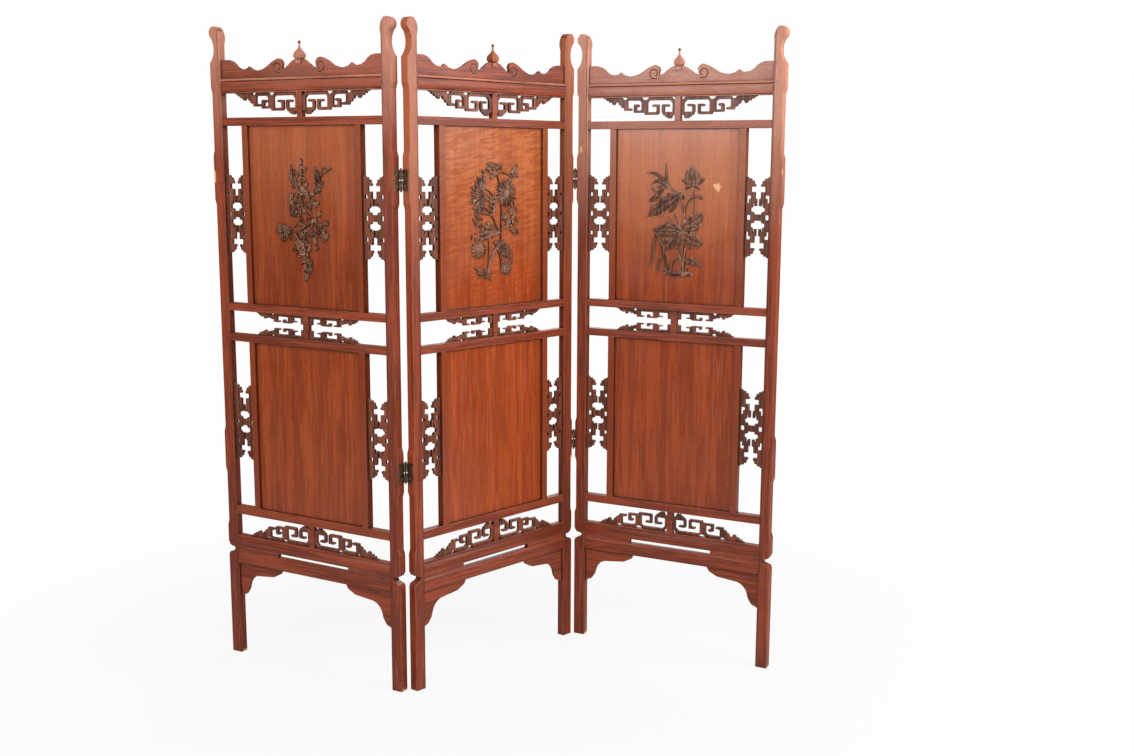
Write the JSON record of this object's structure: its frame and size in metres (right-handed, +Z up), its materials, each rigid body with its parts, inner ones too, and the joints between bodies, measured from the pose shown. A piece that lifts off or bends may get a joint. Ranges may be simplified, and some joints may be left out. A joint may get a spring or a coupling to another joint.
{
  "type": "three-leaf folding screen",
  "caption": "Standing hardwood folding screen: hinged leaves with pierced key fretwork, solid framed panels, carved plant sprays, scrolled crests and bracketed feet.",
  "frame": {"origin": "on the floor, below the middle of the part's bounding box", "axes": "+Z up, +X to the right along the half-folded screen, +Y from front to back"},
  "size_m": [1.5844, 0.4854, 1.804],
  "materials": {
    "frame_wood": "satin red-brown hardwood, worn lighter on the edges",
    "fret_wood": "satin red-brown hardwood, darker in the cuts",
    "panel_wood": "satin red-brown board with an upright grain",
    "carved_relief": "dark brown carving with pale rubbed ridges",
    "hinge_brass": "dull darkened brass"
  },
  "bodies": {
    "left_leaf": {"left_left_stile": "frame_wood", "left_right_stile": "frame_wood", "left_crest_board": "frame_wood", "left_finial": "frame_wood", "left_top_rail": "frame_wood", "left_top_lattice": "fret_wood", "left_middle_lattice": "fret_wood", "left_bottom_lattice": "fret_wood", "left_base_frame": "frame_wood", "left_left_bracket": "frame_wood", "left_right_bracket": "frame_wood", "left_upper_panel": "panel_wood", "left_lower_panel": "panel_wood", "left_carved_spray": "carved_relief", "left_upper_left_side_fret": "fret_wood", "left_upper_right_side_fret": "fret_wood", "left_lower_left_side_fret": "fret_wood", "left_lower_right_side_fret": "fret_wood", "left_hinge_plates": "hinge_brass"},
    "middle_leaf": {"middle_left_stile": "frame_wood", "middle_right_stile": "frame_wood", "middle_crest_board": "frame_wood", "middle_finial": "frame_wood", "middle_top_rail": "frame_wood", "middle_top_lattice": "fret_wood", "middle_middle_lattice": "fret_wood", "middle_bottom_lattice": "fret_wood", "middle_base_frame": "frame_wood", "middle_left_bracket": "frame_wood", "middle_right_bracket": "frame_wood", "middle_upper_panel": "panel_wood", "middle_lower_panel": "panel_wood", "middle_carved_spray": "carved_relief", "middle_upper_left_side_fret": "fret_wood", "middle_upper_right_side_fret": "fret_wood", "middle_lower_left_side_fret": "fret_wood", "middle_lower_right_side_fret": "fret_wood", "middle_hinge_plates": "hinge_brass", "hinge_pins": "hinge_brass"},
    "right_leaf": {"right_left_stile": "frame_wood", "right_right_stile": "frame_wood", "right_crest_board": "frame_wood", "right_finial": "frame_wood", "right_top_rail": "frame_wood", "right_top_lattice": "fret_wood", "right_middle_lattice": "fret_wood", "right_bottom_lattice": "fret_wood", "right_base_frame": "frame_wood", "right_left_bracket": "frame_wood", "right_right_bracket": "frame_wood", "right_upper_panel": "panel_wood", "right_lower_panel": "panel_wood", "right_carved_spray": "carved_relief", "right_upper_left_side_fret": "fret_wood", "right_upper_right_side_fret": "fret_wood", "right_lower_left_side_fret": "fret_wood", "right_lower_right_side_fret": "fret_wood", "right_hinge_plates": "hinge_brass"}
  },
  "joints": [
    {"name": "left_fold", "type": "hinge", "parent": "middle_leaf", "child": "left_leaf", "pos_m": [-0.2325, -0.21886, 0], "axis": [0, 0, 1], "range_deg": [-103.8, 76.2]},
    {"name": "right_fold", "type": "hinge", "parent": "middle_leaf", "child": "right_leaf", "pos_m": [0.2208, 0.21813, 0], "axis": [0, 0, 1], "range_deg": [-106.3, 73.7]}
  ]
}
